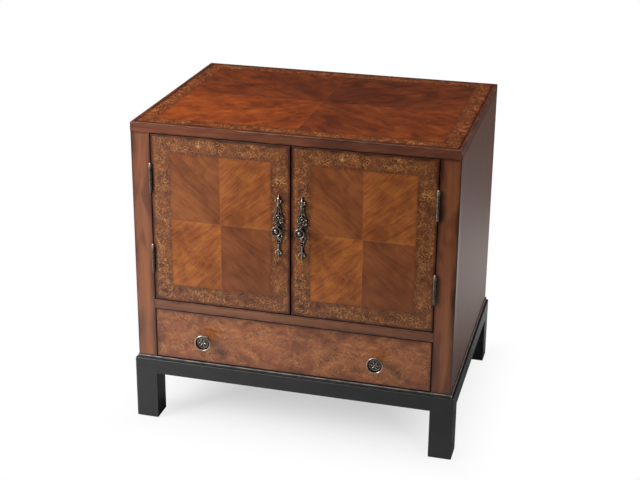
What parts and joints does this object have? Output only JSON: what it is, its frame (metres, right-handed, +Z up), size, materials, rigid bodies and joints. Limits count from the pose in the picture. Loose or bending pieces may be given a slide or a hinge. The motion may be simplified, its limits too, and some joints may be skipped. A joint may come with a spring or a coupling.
{
  "type": "accent cabinet",
  "caption": "Free-standing accent cabinet: veneered case with hinged doors above a drawer, on a separate dark base with square legs.",
  "frame": {"origin": "on the floor, below the middle of the box round the whole cabinet with its knobs", "axes": "+X to the cabinet's right as seen from the front, +Y to the back, +Z up"},
  "size_m": [0.66, 0.508, 0.6395],
  "materials": {
    "black_lacquer": "satin black lacquer over solid wood",
    "glide_nylon": "moulded black nylon",
    "plain_timber": "sawn and planed, unfinished",
    "inside_panel": "stained brown, satin",
    "side_wood": "stained dark brown, satin lacquer",
    "front_wood": "stained reddish brown, gloss lacquer",
    "edge_wood": "stained reddish brown, gloss lacquer",
    "core_board": "fibreboard, stained to match",
    "top_border_veneer": "dark veneer with fine tan scrollwork, gloss lacquer",
    "top_field_veneer": "quartered reddish veneer, gloss lacquer",
    "door_border_veneer": "dark veneer with fine tan scrollwork, gloss lacquer",
    "door_field_veneer": "quartered figured veneer, gloss lacquer",
    "drawer_veneer": "book-matched burl veneer, gloss lacquer",
    "drawer_box_wood": "pale hardwood, clear sealer",
    "antique_metal": "cast and antiqued, dark with rubbed high spots",
    "antique_knob_metal": "cast and antiqued, rubbed rim and dark recess",
    "hinge_metal": "antiqued dark bronze",
    "steel": "zinc plated",
    "catch_plastic": "moulded brown plastic"
  },
  "bodies": {
    "case": {"apron_back": "black_lacquer", "apron_front": "black_lacquer", "apron_left": "black_lacquer", "apron_right": "black_lacquer", "back_panel": "inside_panel", "base_cleats": "plain_timber", "base_moulding": "black_lacquer", "case_bottom": "inside_panel", "case_screws": "steel", "divider_panel": "inside_panel", "drawer_guides": "plain_timber", "drawer_kickers": "plain_timber", "foot_glides": "glide_nylon", "front_stile_left": "front_wood", "front_stile_right": "front_wood", "hinge_frame_leaves": "hinge_metal", "hinge_frame_screws": "hinge_metal", "hinge_pins": "hinge_metal", "leg_back_left": "black_lacquer", "leg_back_right": "black_lacquer", "leg_front_left": "black_lacquer", "leg_front_right": "black_lacquer", "magnetic_catches": "catch_plastic", "middle_rail": "front_wood", "shelf": "inside_panel", "shelf_pins": "steel", "side_panel_left": "side_wood", "side_panel_right": "side_wood", "top_border_veneer": "top_border_veneer", "top_cleats": "plain_timber", "top_core": "core_board", "top_field_veneer": "top_field_veneer", "top_lipping": "edge_wood"},
    "door_left": {"door_left_border_veneer": "door_border_veneer", "door_left_core": "core_board", "door_left_field_veneer": "door_field_veneer", "door_left_hinge_leaves": "hinge_metal", "door_left_hinge_screws": "hinge_metal", "door_left_knob": "antique_metal", "door_left_knob_screw": "steel", "door_left_plate": "antique_metal", "door_left_strike_plate": "steel"},
    "door_right": {"door_right_border_veneer": "door_border_veneer", "door_right_core": "core_board", "door_right_field_veneer": "door_field_veneer", "door_right_hinge_leaves": "hinge_metal", "door_right_hinge_screws": "hinge_metal", "door_right_knob": "antique_metal", "door_right_knob_screw": "steel", "door_right_plate": "antique_metal", "door_right_strike_plate": "steel"},
    "drawer": {"drawer_back": "drawer_box_wood", "drawer_bottom": "drawer_box_wood", "drawer_front": "core_board", "drawer_front_veneer": "drawer_veneer", "drawer_knob_left": "antique_knob_metal", "drawer_knob_right": "antique_knob_metal", "drawer_knob_screws": "steel", "drawer_side_left": "drawer_box_wood", "drawer_side_right": "drawer_box_wood"}
  },
  "joints": [
    {"name": "door_left_swing", "type": "hinge", "parent": "case", "child": "door_left", "pos_m": [-0.283, -0.2322, 0.445], "axis": [0, 0, -1], "range_deg": [0, 180]},
    {"name": "door_right_swing", "type": "hinge", "parent": "case", "child": "door_right", "pos_m": [0.283, -0.2322, 0.445], "axis": [0, 0, 1], "range_deg": [0, 180]},
    {"name": "drawer_slide", "type": "slide", "parent": "case", "child": "drawer", "axis": [0, -1, 0], "range_m": [0, 0.32]}
  ]
}
